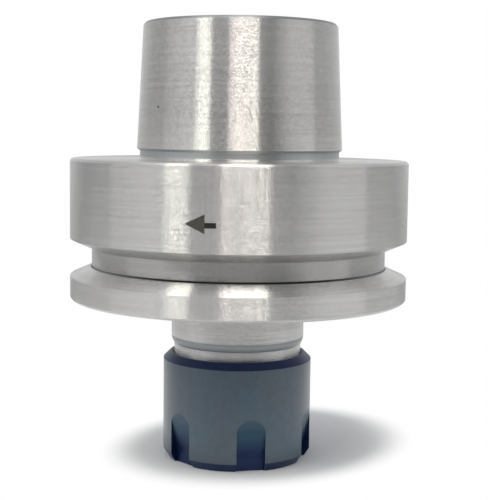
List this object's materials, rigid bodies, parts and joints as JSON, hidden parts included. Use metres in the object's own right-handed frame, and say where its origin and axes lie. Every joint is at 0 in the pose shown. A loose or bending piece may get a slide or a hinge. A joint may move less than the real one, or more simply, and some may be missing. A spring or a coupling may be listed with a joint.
{
  "type": "collet chuck holder",
  "caption": "Collet chuck holder: hollow taper shank and flange with gripper groove, threaded nose, blued slotted nut and spring collet that clamp a round tool shank.",
  "frame": {"origin": "centre of the nut's lower face, on which the holder stands", "axes": "+Z along the turning axis, from the nut to the shank; -Y faces the picture's camera"},
  "size_m": [0.063, 0.063, 0.0813],
  "materials": {
    "turned_steel": "fine turned and ground, satin",
    "ground_spring_steel": "ground, bright",
    "blued_steel": "blued, satin"
  },
  "bodies": {
    "holder": {"holder_body": "turned_steel"},
    "collet": {"spring_collet": "ground_spring_steel"},
    "nut": {"clamping_nut": "blued_steel"}
  },
  "joints": [
    {"name": "collet_draw", "type": "slide", "parent": "holder", "child": "collet", "axis": [0, 0, -1], "range_m": [0, 0.009]},
    {"name": "nut_turn", "type": "hinge", "parent": "collet", "child": "nut", "pos_m": [0, 0, 0.01], "axis": [0, 0, -1], "range_deg": [0, 3240]}
  ],
  "couplings": [
    {"joint": "collet_draw", "follows": "nut_turn", "m_per_rad": 0.00015915}
  ]
}
